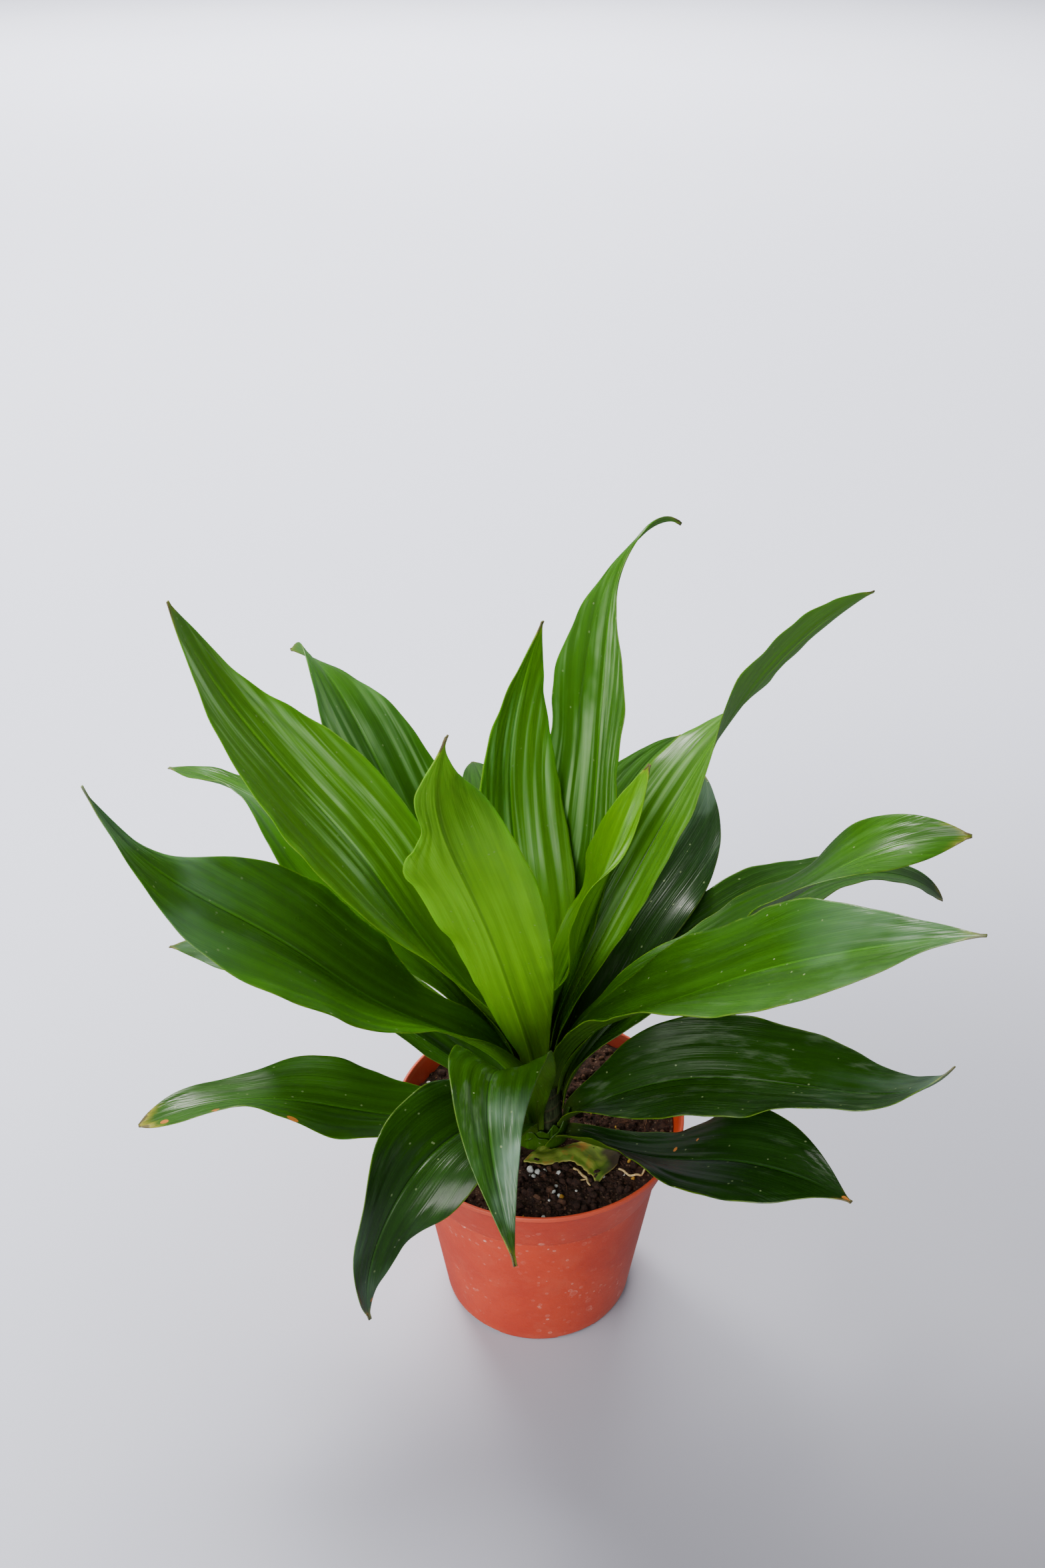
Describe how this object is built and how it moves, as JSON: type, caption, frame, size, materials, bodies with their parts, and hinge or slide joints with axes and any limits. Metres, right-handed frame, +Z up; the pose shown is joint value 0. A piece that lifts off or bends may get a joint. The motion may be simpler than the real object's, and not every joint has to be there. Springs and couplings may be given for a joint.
{
  "type": "potted dracaena",
  "caption": "House plant with broad pleated strap leaves in a rosette on a short cane, growing in soil in a round flared nursery pot.",
  "frame": {"origin": "centre of the pot's base, on the surface that the pot stands on", "axes": "+Z up along the pot's axis, -Y towards the viewer of the picture, +X to the right in it"},
  "size_m": [0.3699, 0.3107, 0.3718],
  "materials": {
    "pot": "matte terracotta-coloured plastic with pale water spots",
    "soil": "moist dark potting mix with white grains",
    "cane": "rough grey-green bark",
    "leaf_old": "dark green, glossy and pleated lengthwise",
    "leaf_mature": "mid green, glossy and pleated lengthwise",
    "leaf_young": "yellow-green, glossy and pleated lengthwise",
    "leaf_torn": "dull yellow-green with a brown ragged end"
  },
  "bodies": {
    "root": {"pot": "pot", "soil": "soil", "cane": "cane", "leaf_front_right_low": "leaf_old", "leaf_left_low": "leaf_old", "leaf_front_left_drooping": "leaf_old", "leaf_right_lower": "leaf_old", "leaf_front_drooping": "leaf_old", "leaf_back_right_low": "leaf_old", "leaf_left_lower": "leaf_old", "leaf_back_low": "leaf_old", "leaf_right_long": "leaf_old", "leaf_back_right": "leaf_old", "leaf_left_long": "leaf_mature", "leaf_front_left": "leaf_mature", "leaf_right_middle": "leaf_mature", "leaf_back_left": "leaf_mature", "leaf_front_right": "leaf_mature", "leaf_front_tall": "leaf_young", "leaf_left_upper": "leaf_young", "leaf_right_upper": "leaf_young", "leaf_upright_right": "leaf_young", "leaf_upright_back": "leaf_young", "leaf_newest": "leaf_young", "leaf_torn": "leaf_torn"}
  },
  "joints": []
}
